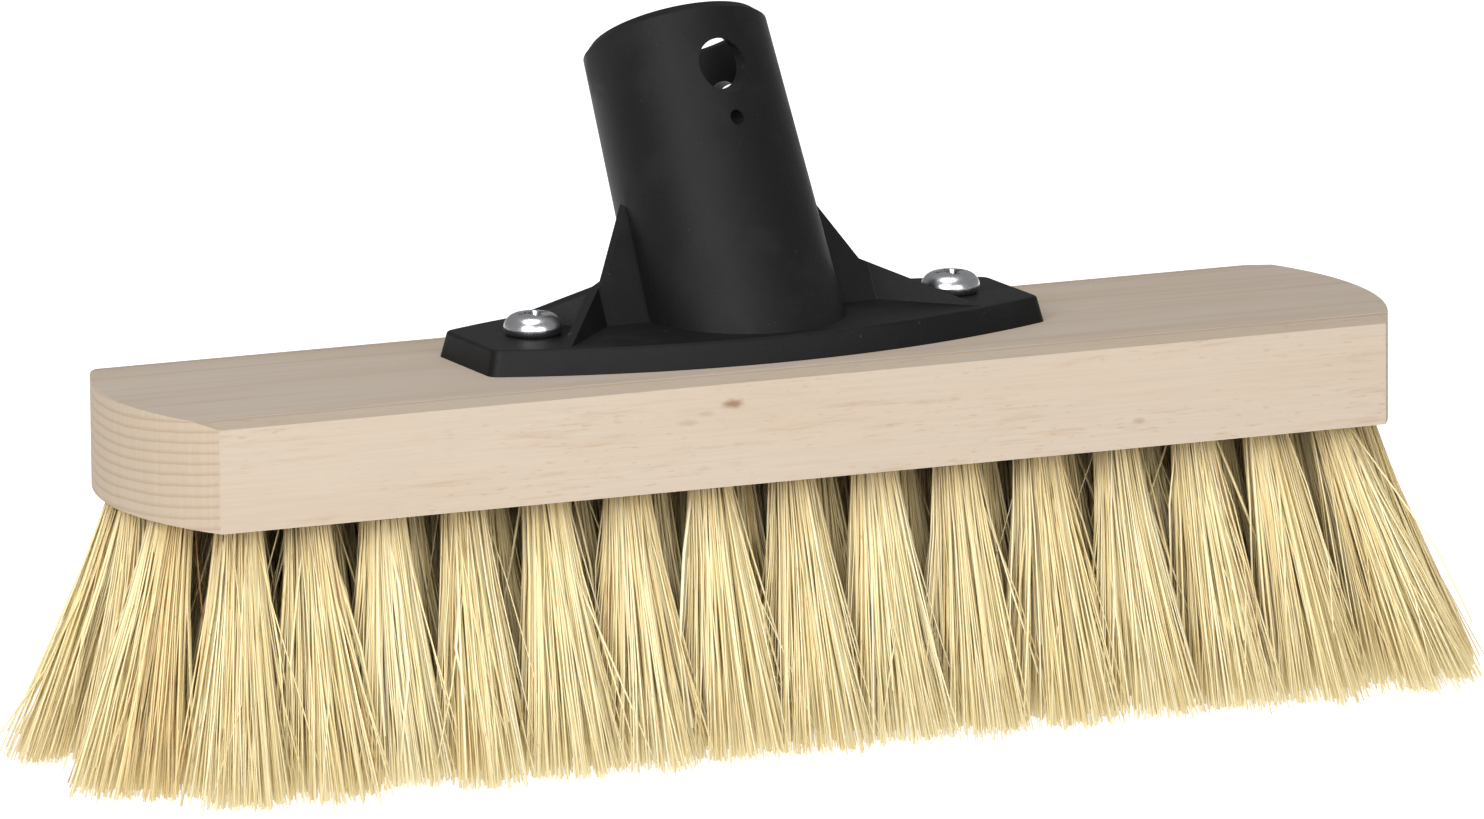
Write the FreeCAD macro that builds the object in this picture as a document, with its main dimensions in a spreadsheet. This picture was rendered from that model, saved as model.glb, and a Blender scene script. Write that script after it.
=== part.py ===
"""Head of a push broom: a beech block filled with fibre tufts, and a screwed-on handle socket.

X runs along the block, -Y is the front, +Z is up, and the trimmed fibre tips stand on Z = 0.
"""
import FreeCAD, Part
import math
import os
import Sketcher

# Driving dimensions, in millimetres and degrees unless the note says otherwise.
DIMENSIONS = [
    ("block_length", 250.0, "over the two curved ends"),
    ("block_width", 63.5, "front to back"),
    ("block_height", 20.0, "at the crest of the top face"),
    ("end_radius", 60.0, "radius of the curved ends"),
    ("bevel_width", 6.0, "sloped band along both long top edges"),
    ("bevel_drop", 0.9, "how far that band falls"),
    ("fibre_length", 50.0, "exposed fibre, block to tips"),
    ("drill_radius", 4.5, "holes that hold the tufts"),
    ("drill_depth", 11.0, "depth of those holes"),
    ("tuft_pitch", 16.4, "along a row, away from its ends"),
    ("row_spacing", 10.75, "between rows"),
    ("end_margin", 6.4, "last tuft of an inner row to the curved end"),
    ("corner_margin", 11.25, "last tuft of the front and back rows to the curved end"),
    ("side_margin", 10.0, "least distance from a tuft centre to a long side"),
    ("end_crowding", 0.5, "share of a pitch by which the last tufts may be drawn in"),
    ("tuft_clearance", 0.15, "tuft to the wall and floor of its hole"),
    ("tip_radius", 8.0, "radius of a tuft at its trimmed tips"),
    ("end_splay", 6.8, "tips of a row's last tuft, outwards along the block"),
    ("fan_rows", 0.535, "front to back lean, as a share of the distance from the middle row"),
    ("staple_width", 2.0, "flat wire that anchors a tuft, up and down"),
    ("staple_thickness", 0.45, "gauge of that wire"),
    ("staple_bite", 0.7, "how far each end bites into the wood"),
    ("fold_cover", 1.2, "fibre folded over a staple"),
    ("socket_side", 0.9, "socket's middle to the right of the block's"),
    ("socket_back", 2.5, "socket's middle behind the block's"),
    ("socket_turn", 2.5, "socket's long axis turned from the block's, seen from above"),
    ("flange_length", 113.4, "base flange of the socket, end to end"),
    ("flange_width", 48.0, "at its middle"),
    ("flange_thickness", 4.8, "base flange"),
    ("flange_end_width", 23.2, "straight edge at each end"),
    ("flange_corner", 2.5, "rounding of the flange's corners, seen from above"),
    ("flange_draft", 13.0, "slope of the flange's side wall"),
    ("flange_edge", 0.7, "rounding of the flange's top edge"),
    ("lean", 30.0, "handle leans back from upright"),
    ("tube_offset", 1.5, "tube axis behind the socket's middle, at the flange top"),
    ("tube_length", 55.5, "flange top to rim, along the axis"),
    ("tube_base_radius", 18.9, "outside, at the flange top"),
    ("tube_rim_radius", 17.4, "outside, at the rim"),
    ("rim_chamfer", 1.6, "outside edge of the rim"),
    ("handle_bore_radius", 14.25, "takes a 28 mm handle"),
    ("bore_floor", 6.0, "floor of the bore above the flange top, along the axis"),
    ("bore_lead_in", 0.9, "chamfer at the mouth of the bore"),
    ("button_hole_radius", 4.65, "large front hole near the rim"),
    ("button_hole_drop", 13.4, "its centre below the rim"),
    ("rear_hole_radius", 3.2, "two rear holes near the rim"),
    ("rear_hole_drop", 10.8, "their centres below the rim"),
    ("rear_hole_angle", 128.0, "from the front hole round to each of them"),
    ("pin_hole_radius", 1.3, "retaining screw hole below the front hole"),
    ("pin_hole_drop", 23.8, "its centre below the rim"),
    ("web_thickness", 2.4, "side webs"),
    ("web_top", 22.8, "where a web leaves the tube, above the flange along the axis"),
    ("web_fork_x", 28.1, "where a web forks in two"),
    ("web_knee_x", 26.0, "where a web's top edge changes slope"),
    ("web_knee_top", 8.3, "height of that knee, along the axis"),
    ("web_end_x", 41.8, "where a fork runs out"),
    ("web_end_y", 13.0, "half spread of the forks there"),
    ("screw_x", 42.7, "each screw from the socket's middle"),
    ("screw_head_radius", 5.5, "pan head"),
    ("screw_head_height", 4.1, "pan head"),
    ("screw_shank_radius", 2.73, "in the flange"),
    ("screw_core_radius", 2.1, "in the wood"),
    ("screw_length", 13.0, "under the head"),
    ("screw_point", 2.6, "length of the tapered point"),
    ("screw_fit", 0.05, "core to pilot hole, radial"),
    ("screw_hole_radius", 3.0, "hole in the flange"),
    ("recess_reach", 3.1, "cross recess, centre to end of a wing"),
    ("recess_wing", 0.65, "half thickness of a wing"),
    ("recess_depth", 1.7, "depth of the wings"),
    ("recess_cone_depth", 2.7, "depth of the centre cone"),
    ("recess_cone_mouth", 1.7, "radius of that cone at the top of the head"),
]

os.makedirs("parts", exist_ok=True)
doc = FreeCAD.newDocument("PushBroomHead")
sheet = doc.addObject("Spreadsheet::Sheet", "Dims")
for row, (alias, value, note) in enumerate(DIMENSIONS, start=1):
    sheet.set("A%d" % row, alias)
    sheet.set("B%d" % row, str(value))
    sheet.set("C%d" % row, note)
    sheet.setAlias("B%d" % row, alias)
doc.recompute()


def size(alias):
    """Value of a driving dimension."""
    return float(getattr(sheet, alias))


def value(expression):
    """Number that an expression on the sheet gives now."""
    result = sheet.evalExpression(expression)
    return float(getattr(result, "Value", result))


def bind(thing, **expressions):
    """Tie properties of an object to expressions on the sheet."""
    for name, expression in expressions.items():
        thing.setExpression(name.replace("__", "."), expression)


def terms(text):
    """Short form for expressions: a word that names a dimension reads it from the sheet."""
    for alias in sorted((entry[0] for entry in DIMENSIONS), key=len, reverse=True):
        text = text.replace("<" + alias + ">", "Dims." + alias)
    return text


def origin_plane(body, role):
    """One of a body's own origin planes."""
    for feature in body.Origin.OriginFeatures:
        if feature.Role == role:
            return feature
    raise ValueError(role)


def new_body(name):
    body = doc.addObject("PartDesign::Body", name)
    body.Label = name
    return body


def new_sketch(body, name, role, rise="0"):
    """Sketch on an origin plane of its body, raised along the plane's normal."""
    sketch = body.newObject("Sketcher::SketchObject", name)
    sketch.AttachmentSupport = [(origin_plane(body, role), "")]
    sketch.MapMode = "FlatFace"
    bind(sketch, AttachmentOffset__Base__z=terms(rise))
    return sketch


def pin_point(sketch, index, corner):
    """Hold the start of an edge at a corner given by two expressions."""
    for kind, axis, expression in (("DistanceX", -2, corner[0]), ("DistanceY", -1, corner[1])):
        expression = terms(expression)
        number = value(expression)
        if abs(number) < 1e-9:
            sketch.addConstraint(Sketcher.Constraint("PointOnObject", index, 1, axis))
            continue
        if number > 0:
            held = sketch.addConstraint(Sketcher.Constraint(kind, -1, 1, index, 1, number))
        else:
            held = sketch.addConstraint(Sketcher.Constraint(kind, index, 1, -1, 1, -number))
            expression = "-(" + expression + ")"
        sketch.setExpression("Constraints[%d]" % held, expression)


def bulge_point(start, end, radius):
    """Middle of the arc that bows to the right of the way from start to end."""
    chord = end.sub(start)
    half = chord.Length / 2
    outward = FreeCAD.Vector(chord.y, -chord.x, 0).normalize()
    rise = radius - math.sqrt(radius * radius - half * half)
    return start.add(end).multiply(0.5).add(outward.multiply(rise))


def draw(sketch, corners, arcs=None):
    """Closed outline, anticlockwise; arcs gives the radius of each edge that bows outwards."""
    arcs = arcs or {}
    points = [FreeCAD.Vector(value(terms(x)), value(terms(y)), 0) for x, y in corners]
    count = len(points)
    for index, start in enumerate(points):
        end = points[(index + 1) % count]
        if index in arcs:
            middle = bulge_point(start, end, value(terms(arcs[index])))
            sketch.addGeometry(Part.Arc(start, middle, end), False)
        else:
            sketch.addGeometry(Part.LineSegment(start, end), False)
    for index in range(count):
        sketch.addConstraint(Sketcher.Constraint("Coincident", index, 2, (index + 1) % count, 1))
        pin_point(sketch, index, corners[index])
    for index, radius in arcs.items():
        held = sketch.addConstraint(Sketcher.Constraint("Radius", index, value(terms(radius))))
        sketch.setExpression("Constraints[%d]" % held, terms(radius))


def pad(body, sketch, length, **settings):
    feature = body.newObject("PartDesign::Pad", sketch.Name + "_pad")
    feature.Profile = sketch
    bind(feature, Length=terms(length))
    for name, setting in settings.items():
        setattr(feature, name, setting)
    return feature


# The last tufts of a row are drawn in at the block and splay at their tips, by this power of
# their share of the row.
END_POWER = 5

# How far a cutting tool runs past the face that it opens.
OVERCUT = 1.0

# Pan head outline, as shares of the head's radius and height.
HEAD_SEAT = 0.86
HEAD_EDGE = 0.38
HEAD_CROWN_RADIUS = 0.5
HEAD_CROWN_HEIGHT = 0.97
HEAD_EDGE_BOW = 0.3
HEAD_SHOULDER_BOW = 0.53

# Heights that several pieces share.
BLOCK_TOP = "(<fibre_length> + <block_height>)"
FLANGE_TOP = "(<fibre_length> + <block_height> + <flange_thickness>)"
SIDE_SAG = "(<end_radius> - sqrt(<end_radius>^2 - (<block_width> / 2)^2))"
block_bottom = size("fibre_length")
flange_top = value(terms(FLANGE_TOP))
lean = math.radians(size("lean"))
tube_axis = FreeCAD.Vector(0, math.sin(lean), math.cos(lean))
tube_front = FreeCAD.Vector(0, -math.cos(lean), math.sin(lean))
tube_foot = FreeCAD.Vector(0, size("tube_offset"), flange_top)

# The socket and its screws are drawn square, then set on the block together.
socket_place = FreeCAD.Placement(
    FreeCAD.Vector(size("socket_side"), size("socket_back"), 0),
    FreeCAD.Rotation(FreeCAD.Vector(0, 0, 1), size("socket_turn")))


# Where the tufts stand.
def row_reach(across, margin):
    """X of the tuft centre that keeps a margin from the curved end."""
    radius = size("end_radius")
    return size("block_length") / 2 - radius + math.sqrt((radius - margin) ** 2 - across ** 2)


def tuft_row(across, reach, stagger):
    """Centres of one row's tufts at the block and at their tips, left to right."""
    pitch = size("tuft_pitch")
    last = int(reach / pitch - stagger + size("end_crowding")) + stagger
    drawn_in = pitch * last - reach
    tip_y = across * (1 + size("fan_rows"))
    places = []
    for number in range(int(2 * last) + 1):
        step = number - last
        along = pitch * step
        end_share = (step / last) ** END_POWER
        root = FreeCAD.Vector(along - drawn_in * end_share, across, block_bottom)
        tip = FreeCAD.Vector(along + size("end_splay") * end_share, tip_y, 0)
        places.append((root, tip))
    return places


def tuft_rows():
    """Rows front to back; every second row is staggered by half a pitch."""
    spacing = size("row_spacing")
    outer = int((size("block_width") / 2 - size("side_margin")) // spacing)
    rows = []
    for number in range(-outer, outer + 1):
        across = number * spacing
        margin = size("corner_margin" if abs(number) == outer else "end_margin")
        stagger = 0.5 if (number + outer) % 2 else 0.0
        rows.append(tuft_row(across, row_reach(across, margin), stagger))
    return rows


def inward(root, tip, depth):
    """Point on a tuft's line, a given height above the block's underside."""
    return root.add(root.sub(tip).multiply(depth / block_bottom))


def fold_height(root, tip):
    """Height of a tuft's fold above the block's underside, clear of the leaning floor of its hole."""
    lean_back = math.hypot(root.x - tip.x, root.y - tip.y) / (root.z - tip.z)
    return size("drill_depth") - size("tuft_clearance") - size("drill_radius") * lean_back


def staple_box(name, root, tip):
    """Flat wire across one hole, with both ends in the wood."""
    height = fold_height(root, tip) - size("fold_cover") - size("staple_width") / 2
    wire = doc.addObject("Part::Box", name)
    bind(wire, Length="2 * (Dims.drill_radius + Dims.staple_bite)",
         Width="Dims.staple_thickness", Height="Dims.staple_width")
    middle = inward(root, tip, height)
    reach = size("drill_radius") + size("staple_bite")
    corner = FreeCAD.Vector(reach, size("staple_thickness") / 2, size("staple_width") / 2)
    wire.Placement = FreeCAD.Placement(middle.sub(corner), FreeCAD.Rotation())
    return wire


def drill(name, root, tip):
    """Leaning round hole, open at the block's underside."""
    overshoot = size("drill_radius")
    outwards = tip.sub(root).normalize()
    tool = doc.addObject("Part::Cylinder", name)
    bind(tool, Radius="Dims.drill_radius")
    tool.Height = size("drill_depth") / -outwards.z + overshoot
    top = inward(root, tip, size("drill_depth"))
    turn = FreeCAD.Rotation(FreeCAD.Vector(0, 0, 1), outwards)
    tool.Placement = FreeCAD.Placement(top, turn)
    return tool


def ring(name, centre, radius):
    """Circle that one level of a tuft passes through."""
    circle = doc.addObject("Part::Circle", name)
    bind(circle, Radius=radius)
    circle.Placement = FreeCAD.Placement(centre, FreeCAD.Rotation())
    return circle


def tuft_solid(name, root, tip, wire):
    """Bundle of fibre: straight in its hole, then flaring to level trimmed tips."""
    held = "Dims.drill_radius - Dims.tuft_clearance"
    levels = [
        ring(name + "_fold", inward(root, tip, fold_height(root, tip)), held),
        ring(name + "_root", root, held),
        ring(name + "_tips", tip, "Dims.tip_radius"),
    ]
    flare = doc.addObject("Part::Loft", name + "_flare")
    flare.Sections = levels
    flare.Solid = True
    flare.Ruled = True
    tuft = doc.addObject("Part::Cut", name)
    tuft.Base = flare
    tuft.Tool = wire
    return tuft


def group(name, members):
    """Several like pieces that share one node."""
    bundle = doc.addObject("Part::Compound", name)
    bundle.Label = name
    bundle.Links = members
    return bundle


nodes = []


def add_tufts():
    """Every tuft, its staple and its drill; returns the drills and all the staples."""
    rows = tuft_rows()
    middle = len(rows) // 2
    names = {0: "front", middle: "middle", len(rows) - 1: "back"}
    drills = []
    staples = []
    for order, places in enumerate(rows):
        row_tufts = []
        row_staples = []
        title = names.get(order, "inner_front" if order < middle else "inner_back")
        for number, (root, tip) in enumerate(places, start=1):
            tag = "%s_%02d" % (title, number)
            row_staples.append(staple_box("staple_" + tag, root, tip))
            drills.append(drill("drill_" + tag, root, tip))
            row_tufts.append(tuft_solid("tuft_" + tag, root, tip, row_staples[-1]))
        if order in names:
            nodes.extend(row_tufts)
        else:
            nodes.append(group("tufts_" + title, row_tufts))
        nodes.append(group("staples_" + title, row_staples))
        staples.extend(row_staples)
    return drills, staples


def screw_place(sign, rise):
    """Placement on one screw's axis, a given height above the flange top."""
    height = value(terms(FLANGE_TOP + " + " + rise))
    base = FreeCAD.Vector(sign * size("screw_x"), 0, height)
    return socket_place.multiply(FreeCAD.Placement(base, FreeCAD.Rotation()))


def make_block(drills, staples):
    """Beech block: curved ends, bevelled long top edges, leaning holes and screw pilots."""
    body = new_body("block_blank")
    plan = new_sketch(body, "block_plan", "XY_Plane", "<fibre_length>")
    straight = "(<block_length> / 2 - " + SIDE_SAG + ")"
    half = "(<block_width> / 2)"
    draw(plan, [("-" + straight, "-" + half), (straight, "-" + half),
                (straight, half), ("-" + straight, half)],
         {1: "<end_radius>", 3: "<end_radius>"})
    pad(body, plan, "<block_height>")
    for side, sign in (("front", "-"), ("back", "")):
        slope = new_sketch(body, "bevel_" + side, "YZ_Plane")
        inner = sign + "(" + half + " - <bevel_width>)"
        outer = sign + half
        above = BLOCK_TOP + " + %g" % OVERCUT
        corners = [(inner, BLOCK_TOP), (outer, BLOCK_TOP + " - <bevel_drop>"),
                   (outer, above), (inner, above)]
        draw(slope, corners if sign == "" else corners[::-1])
        cut = body.newObject("PartDesign::Pocket", "bevel_" + side + "_cut")
        cut.Profile = slope
        cut.Type = "ThroughAll"
        cut.Midplane = True
    doc.recompute()
    drilled = doc.addObject("Part::Cut", "block_drilled")
    drilled.Base = body
    drilled.Tool = group("tuft_holes", drills)
    slotted = doc.addObject("Part::Cut", "block_slotted")
    slotted.Base = drilled
    slotted.Tool = group("staple_slots", staples)
    pilots = []
    for side, sign in (("left", -1), ("right", 1)):
        pilot = doc.addObject("Part::Cylinder", "pilot_" + side)
        bind(pilot, Radius="Dims.screw_core_radius + Dims.screw_fit",
             Height="Dims.screw_length - Dims.flange_thickness + Dims.screw_fit")
        pilot.Placement = screw_place(sign, "-(<screw_length>) - <screw_fit>")
        pilots.append(pilot)
    block = doc.addObject("Part::Cut", "block")
    block.Base = slotted
    block.Tool = group("pilot_holes", pilots)
    nodes.insert(0, block)


def make_flange():
    """Base flange: bowed long sides, rounded corners and a drafted side wall."""
    body = new_body("flange")
    plan = new_sketch(body, "flange_plan", "XY_Plane", BLOCK_TOP)
    end_x = "(<flange_length> / 2)"
    end_y = "(<flange_end_width> / 2)"
    sag = "(<flange_width> / 2 - " + end_y + ")"
    bow = "(" + end_x + "^2 + " + sag + "^2) / (2 * " + sag + ")"
    draw(plan, [("-" + end_x, "-" + end_y), (end_x, "-" + end_y),
                (end_x, end_y), ("-" + end_x, end_y)], {0: bow, 2: bow})
    plate = pad(body, plan, "<flange_thickness>")
    bind(plate, TaperAngle="-Dims.flange_draft")
    doc.recompute()
    corners = round_edges(body, plate, "flange_corners", "Dims.flange_corner",
                          lambda box: box.ZLength > size("flange_thickness") / 2)
    round_edges(body, corners, "flange_rounding", "Dims.flange_edge",
                lambda box: box.ZMin > flange_top - 0.01)
    return body


def round_edges(body, base, name, radius, wanted):
    """Fillet on the edges whose bounding boxes are wanted."""
    edges = [index for index, edge in enumerate(base.Shape.Edges, start=1)
             if wanted(edge.BoundBox)]
    rounding = body.newObject("PartDesign::Fillet", name)
    rounding.Base = (base, ["Edge%d" % index for index in edges])
    bind(rounding, Radius=radius)
    doc.recompute()
    return rounding


def along_tube(distance):
    """Point on the tube's axis, from the flange top upwards."""
    return tube_foot.add(FreeCAD.Vector(tube_axis).multiply(distance))


def tube_cone(name, start, length, radius_low, radius_high):
    """Round piece of the tube or a tool on its axis."""
    cone = doc.addObject("Part::Cone", name)
    cone.Height = length
    cone.Radius1 = radius_low
    cone.Radius2 = radius_high
    upright = FreeCAD.Vector(0, 0, 1)
    cone.Placement = FreeCAD.Placement(along_tube(start), FreeCAD.Rotation(upright, tube_axis))
    return cone


def outer_radius(distance):
    """Outside radius of the tube at a distance above the flange top."""
    share = distance / size("tube_length")
    return size("tube_base_radius") + share * (size("tube_rim_radius") - size("tube_base_radius"))


def make_webs():
    """Two side webs in line with the tube, each forking to the front and the back."""
    half = size("web_thickness") / 2
    fork = FreeCAD.Vector(size("web_fork_x"), size("tube_offset"), 0)
    strips = [(FreeCAD.Vector(-fork.x, fork.y, 0), fork)]
    for side in (-1, 1):
        for depth in (-1, 1):
            start = FreeCAD.Vector(side * fork.x, fork.y, 0)
            reach = FreeCAD.Vector(side * size("web_end_x"), depth * size("web_end_y"), 0)
            beyond = reach.sub(start).normalize().multiply(size("web_thickness"))
            strips.append((start, reach.add(beyond)))
    rise = size("tube_length")
    sunk = size("flange_thickness") / 4
    walls = []
    for start, end in strips:
        aside = end.sub(start).normalize().multiply(half)
        aside = FreeCAD.Vector(-aside.y, aside.x, 0)
        foot = FreeCAD.Vector(0, 0, flange_top).sub(FreeCAD.Vector(tube_axis).multiply(sunk))
        loop = [start.add(aside), start.sub(aside), end.sub(aside), end.add(aside)]
        outline = Part.makePolygon([corner.add(foot) for corner in loop + loop[:1]])
        walls.append(Part.Face(outline).extrude(FreeCAD.Vector(tube_axis).multiply(rise)))
        post = Part.makeCylinder(half, rise, start.add(foot), tube_axis)
        walls.append(post)
    walls = walls[0].multiFuse(walls[1:])
    upright = math.cos(lean)
    fall = size("web_knee_top") * upright / (size("web_end_x") - size("web_knee_x"))
    corners = [
        (size("web_end_x") + sunk / fall, flange_top - sunk),
        (size("web_knee_x"), flange_top + size("web_knee_top") * upright),
        (outer_radius(size("web_top")), flange_top + size("web_top") * upright),
    ]
    profile = corners + [(-along, height) for along, height in reversed(corners)]
    depth = size("block_width")
    loop = [FreeCAD.Vector(along, -depth, height) for along, height in profile]
    side_view = Part.Face(Part.makePolygon(loop + loop[:1]))
    webs = doc.addObject("Part::Feature", "webs")
    webs.Shape = walls.common(side_view.extrude(FreeCAD.Vector(0, 2 * depth, 0)))
    return webs


def side_hole(name, distance, radius, turn, length):
    """Round tool through one wall of the tube; turn is from the front, about the axis."""
    hole = doc.addObject("Part::Cylinder", name)
    bind(hole, Radius=radius)
    hole.Height = length
    outwards = FreeCAD.Rotation(tube_axis, turn).multVec(tube_front)
    start = along_tube(distance)
    if turn == 0:
        # The front holes are cored level, so their axis is along Y through the same front point.
        start = start.add(FreeCAD.Vector(tube_front).multiply(outer_radius(distance)))
        start.y += length / 2
        outwards = FreeCAD.Vector(0, -1, 0)
    hole.Placement = FreeCAD.Placement(start, FreeCAD.Rotation(FreeCAD.Vector(0, 0, 1), outwards))
    return hole


def make_socket():
    """Handle socket: flange, leaning tube and webs in one moulding."""
    length = size("tube_length")
    below = size("flange_thickness") / math.cos(lean)
    below += size("tube_base_radius") * math.tan(lean) + OVERCUT
    chamfer = size("rim_chamfer")
    shoulder = length - chamfer
    tube = tube_cone("tube", -below, below + shoulder, outer_radius(-below), outer_radius(shoulder))
    rim = tube_cone("tube_rim", shoulder, chamfer, outer_radius(shoulder),
                    outer_radius(length) - chamfer)
    solid = doc.addObject("Part::MultiFuse", "socket_solid")
    solid.Shapes = [make_flange(), tube, rim, make_webs()]
    under = doc.addObject("Part::Box", "below_flange")
    bind(under, Length="Dims.block_length", Width="Dims.block_length",
         Height="Dims.fibre_length + Dims.block_height",
         Placement__Base__x="-Dims.block_length / 2", Placement__Base__y="-Dims.block_length / 2")
    bore_radius = size("handle_bore_radius")
    lead = size("bore_lead_in")
    floor = size("bore_floor")
    tools = [
        under,
        tube_cone("bore", floor, length - floor, bore_radius, bore_radius),
        tube_cone("bore_mouth", length - lead, 2 * lead, bore_radius, bore_radius + 2 * lead),
        side_hole("front_button_hole", length - size("button_hole_drop"),
                  "Dims.button_hole_radius", 0, bore_radius),
        side_hole("pin_hole", length - size("pin_hole_drop"), "Dims.pin_hole_radius", 0,
                  bore_radius),
    ]
    for side, sign in (("left", -1), ("right", 1)):
        turn = sign * size("rear_hole_angle")
        tools.append(side_hole("rear_button_hole_" + side, length - size("rear_hole_drop"),
                               "Dims.rear_hole_radius", turn, 2 * bore_radius))
        screw_hole = doc.addObject("Part::Cylinder", "screw_hole_" + side)
        bind(screw_hole, Radius="Dims.screw_hole_radius", Height="2 * Dims.flange_thickness",
             Placement__Base__x="%d * Dims.screw_x" % sign,
             Placement__Base__z=terms(BLOCK_TOP + " - <flange_thickness> / 2"))
        tools.append(screw_hole)
    cutters = doc.addObject("Part::MultiFuse", "socket_cutters")
    cutters.Shapes = tools
    socket = doc.addObject("Part::Cut", "handle_socket")
    socket.Base = solid
    socket.Tool = cutters
    socket.Placement = socket_place
    nodes.insert(1, socket)


def make_screw(side, sign):
    """Pan head screw with a cross recess; its thread stands at core diameter."""
    body = new_body("screw_" + side)
    body.Placement = screw_place(sign, "0")
    outline = new_sketch(body, "screw_outline_" + side, "XZ_Plane")
    length = "-(<screw_length>)"
    draw(outline, [("0", length), ("<screw_core_radius>", length + " + <screw_point>"),
                   ("<screw_core_radius>", "-(<flange_thickness>)"),
                   ("<screw_shank_radius>", "-(<flange_thickness>)"),
                   ("<screw_shank_radius>", "0"),
                   ("<screw_head_radius> * %g" % HEAD_SEAT, "0"),
                   ("<screw_head_radius>", "<screw_head_height> * %g" % HEAD_EDGE),
                   ("<screw_head_radius> * %g" % HEAD_CROWN_RADIUS,
                    "<screw_head_height> * %g" % HEAD_CROWN_HEIGHT),
                   ("0", "<screw_head_height>")],
         {5: "<screw_head_radius> * %g" % HEAD_EDGE_BOW,
          6: "<screw_head_radius> * %g" % HEAD_SHOULDER_BOW})
    turned = body.newObject("PartDesign::Revolution", "screw_turned_" + side)
    turned.Profile = outline
    turned.ReferenceAxis = (outline, ["V_Axis"])
    turned.Angle = 360
    doc.recompute()
    wings = new_sketch(body, "recess_wings_" + side, "XY_Plane", "<screw_head_height>")
    far = "<recess_reach>"
    near = "<recess_wing>"
    quarter = [(far, near), (near, near), (near, far)]
    corners = []
    for turn in range(4):
        for x, y in quarter:
            for step in range(turn):
                x, y = "-(" + y + ")", x
            corners.append((x, y))
    draw(wings, corners)
    recess = body.newObject("PartDesign::Pocket", "recess_" + side)
    recess.Profile = wings
    bind(recess, Length="Dims.recess_depth")
    doc.recompute()
    cone = body.newObject("PartDesign::SubtractiveCone", "recess_cone_" + side)
    bind(cone, Height="Dims.recess_cone_depth", Radius1="Dims.recess_wing",
         Radius2="Dims.recess_cone_mouth",
         Placement__Base__z="Dims.screw_head_height - Dims.recess_cone_depth")
    nodes.insert(2, body)


drills, staples = add_tufts()
make_block(drills, staples)
make_socket()
make_screw("right", 1)
make_screw("left", -1)
doc.recompute()

for thing in doc.Objects:
    if "Invalid" in thing.State or "Error" in thing.State:
        raise RuntimeError("failed: " + thing.Name)
for node in nodes:
    if node.Shape.isNull() or not node.Shape.isValid():
        raise RuntimeError("bad shape: " + node.Name)
    print(node.Label, len(node.Shape.Solids), round(node.Shape.Volume, 1))
for node in nodes:
    node.Shape.exportStep(os.path.join("parts", node.Label + ".step"))
print(len(nodes), "nodes")
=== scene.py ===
import math

import bmesh
import bpy
import numpy as np
from bpy.props import FloatProperty, FloatVectorProperty, IntProperty, PointerProperty
from bpy.types import Operator, Panel, PropertyGroup
from mathutils import Matrix, Vector


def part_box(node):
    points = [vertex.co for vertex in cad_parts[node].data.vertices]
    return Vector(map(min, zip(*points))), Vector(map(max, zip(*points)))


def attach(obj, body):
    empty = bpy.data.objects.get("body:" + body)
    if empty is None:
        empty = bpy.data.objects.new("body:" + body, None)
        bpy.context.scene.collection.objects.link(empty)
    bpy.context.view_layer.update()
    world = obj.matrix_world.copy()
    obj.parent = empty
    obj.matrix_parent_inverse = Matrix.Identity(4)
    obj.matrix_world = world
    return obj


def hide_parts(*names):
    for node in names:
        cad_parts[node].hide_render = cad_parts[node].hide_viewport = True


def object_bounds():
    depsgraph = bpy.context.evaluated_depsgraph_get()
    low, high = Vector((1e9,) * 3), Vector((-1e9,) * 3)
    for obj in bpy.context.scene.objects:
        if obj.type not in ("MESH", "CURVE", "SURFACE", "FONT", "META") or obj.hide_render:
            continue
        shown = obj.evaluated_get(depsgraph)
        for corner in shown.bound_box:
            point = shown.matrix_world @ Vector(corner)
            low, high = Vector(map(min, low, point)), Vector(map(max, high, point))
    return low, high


bl_info = {
    "name": "Push Broom Head",
    "version": (1, 0, 0),
    "blender": (4, 5, 0),
    "location": "3D View > Sidebar > Push Broom",
    "description": "Beech block, black handle socket, zinc screws and natural fibre tufts",
    "category": "Object",
}

MM = 0.001

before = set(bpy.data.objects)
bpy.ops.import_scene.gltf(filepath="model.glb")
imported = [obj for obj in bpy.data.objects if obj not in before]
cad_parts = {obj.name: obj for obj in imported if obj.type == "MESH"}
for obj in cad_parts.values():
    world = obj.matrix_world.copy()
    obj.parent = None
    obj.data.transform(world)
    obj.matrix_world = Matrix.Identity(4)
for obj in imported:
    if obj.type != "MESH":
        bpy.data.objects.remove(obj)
CAD_LOW, CAD_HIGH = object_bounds()
BLOCK_LOW, BLOCK_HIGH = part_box("block")

TUFT_ROWS = ("front", "middle", "back")
GROUPED_ROWS = ("inner_front", "inner_back")
SCREWS = ("screw_left", "screw_right")


def nodes_named(start):
    """CAD nodes whose names begin with a word, in order."""
    return sorted(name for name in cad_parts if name.startswith(start))


# ---------------------------------------------------------------- sizes and colours

def length(name, description, default):
    """Distance that is never below nothing."""
    return FloatProperty(name=name, description=description, default=default, min=0.0,
                         subtype="DISTANCE", unit="LENGTH", precision=5)


def place(name, description, default):
    """Distance either way from a point."""
    return FloatProperty(name=name, description=description, default=default,
                         subtype="DISTANCE", unit="LENGTH", precision=5)


def share(name, description, default):
    """Share from nothing to the whole."""
    return FloatProperty(name=name, description=description, default=default, min=0.0, max=1.0,
                         subtype="FACTOR")


def colour(name, description, default):
    """Colour in linear red, green and blue."""
    return FloatVectorProperty(name=name, description=description, default=default, size=3,
                               min=0.0, max=1.0, subtype="COLOR")


def angle(name, description, degrees):
    """Turn, given in degrees."""
    return FloatProperty(name=name, description=description, default=math.radians(degrees),
                         subtype="ANGLE", unit="ROTATION")


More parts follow.
